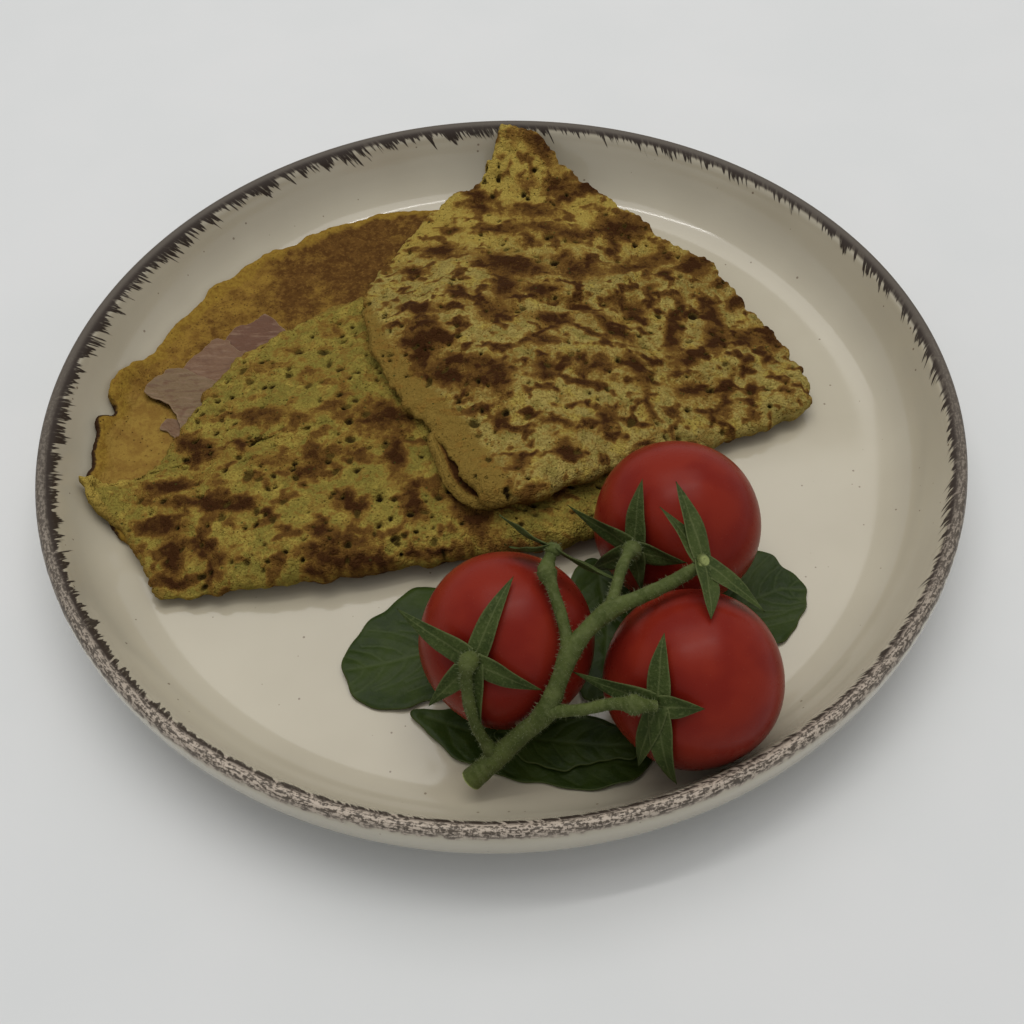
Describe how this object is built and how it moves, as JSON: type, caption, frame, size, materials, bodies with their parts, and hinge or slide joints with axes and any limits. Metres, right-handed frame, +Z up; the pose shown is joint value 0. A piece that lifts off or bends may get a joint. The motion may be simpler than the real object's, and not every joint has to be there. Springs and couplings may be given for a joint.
{
  "type": "potato pancake",
  "caption": "Folded potato pancakes with ham on a round rimmed stoneware plate, with tomatoes still on their vine and spinach leaves.",
  "frame": {"origin": "centre of the foot ring, on the surface that the plate stands on", "axes": "+Z up out of the plate; -Y towards the diner, the side where the tomatoes are; +X to the diner's right"},
  "size_m": [0.2646, 0.265, 0.0562],
  "materials": {
    "stoneware": "cream gloss glaze with small brown specks and a brushed dark brown rim band",
    "pancake": "fried batter, yellow-olive with brown griddle marks",
    "ham": "moist sliced cooked ham",
    "tomato": "smooth ripe skin",
    "vine": "finely hairy green stem",
    "spinach": "dark satin leaf"
  },
  "bodies": {
    "root": {"plate": "stoneware", "crepe_left": "pancake", "ham": "ham", "crepe_right": "pancake", "tomato_left": "tomato", "tomato_right": "tomato", "tomato_top": "tomato", "truss": "vine", "leaf_left": "spinach", "leaf_bottom": "spinach", "leaf_bottom_upper": "spinach", "leaf_right": "spinach", "leaf_middle": "spinach"}
  },
  "joints": []
}
